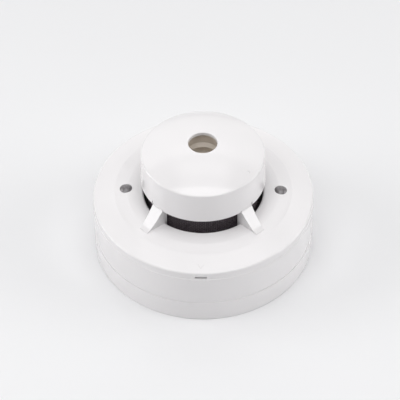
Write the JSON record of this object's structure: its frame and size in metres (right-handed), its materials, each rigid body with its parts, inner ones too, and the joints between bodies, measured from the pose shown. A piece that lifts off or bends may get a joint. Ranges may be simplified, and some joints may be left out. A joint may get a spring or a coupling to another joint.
{
  "type": "smoke and heat detector",
  "caption": "Round ceiling detector: domed cap on four ribs over a screened chamber, head twisted onto a shallow mounting base.",
  "frame": {"origin": "centre of the mounting base's back face, which lies on the ceiling or wall", "axes": "+Z out of the back face along the detector's axis towards the cap, -Y towards the release slot and its arrow, +X and -X towards the two indicator lenses"},
  "size_m": [0.1004, 0.1004, 0.0612],
  "materials": {
    "white_shell": "moulded gloss white",
    "white_inner": "moulded white",
    "screen_mesh": "black woven mesh",
    "chamber_black": "moulded matte black",
    "smoky_lens": "smoky clear",
    "led_white": "moulded white",
    "holder_beige": "moulded beige",
    "thermistor_glass": "dipped bead",
    "lead_wire": "tinned wire",
    "emitter_clear": "clear blue",
    "photodiode_dark": "dark clear",
    "shield_steel": "tin plated",
    "terminal_steel": "plated",
    "screw_steel": "zinc plated",
    "contact_bronze": "spring bronze",
    "rivet_brass": "plain brass",
    "board_green": "green solder mask",
    "chip_black": "moulded black",
    "capacitor_aluminium": "can"
  },
  "bodies": {
    "base": {"mounting_base": "white_shell", "terminal_plate_1": "terminal_steel", "terminal_plate_2": "terminal_steel", "terminal_plate_3": "terminal_steel", "terminal_plate_4": "terminal_steel", "terminal_screws": "screw_steel", "terminal_clamps": "terminal_steel"},
    "head": {"outer_cover": "white_shell", "cap": "white_shell", "bottom_plate": "white_inner", "insect_screen": "screen_mesh", "chamber_base": "chamber_black", "chamber_cover": "chamber_black", "indicator_lens_left": "smoky_lens", "indicator_lens_right": "smoky_lens", "indicator_led_left": "led_white", "indicator_led_right": "led_white", "thermistor_holder": "holder_beige", "thermistor": "thermistor_glass", "thermistor_leads": "lead_wire", "ir_emitter": "emitter_clear", "photodiode": "photodiode_dark", "photodiode_shield": "shield_steel", "cover_screws": "screw_steel", "board_screws": "screw_steel", "contact_blade_1": "contact_bronze", "contact_blade_2": "contact_bronze", "contact_blade_3": "contact_bronze", "contact_blade_4": "contact_bronze", "contact_rivets": "rivet_brass", "main_board": "board_green", "controller_chip": "chip_black", "interface_chip": "chip_black", "bridge_rectifier": "chip_black", "chip_resistors": "chip_black", "storage_capacitor": "capacitor_aluminium"},
    "latch": {"lock_latch": "chamber_black"}
  },
  "joints": [
    {"name": "head_twist", "type": "hinge", "parent": "base", "child": "head", "pos_m": [0, 0, 0.0113], "axis": [0, 0, 1], "range_deg": [0, 20]},
    {"name": "latch_press", "type": "slide", "parent": "head", "child": "latch", "axis": [0, 1, 0], "range_m": [0, 0.0015], "stiffness_N_per_m": 400, "springref_m": -0.0015}
  ]
}
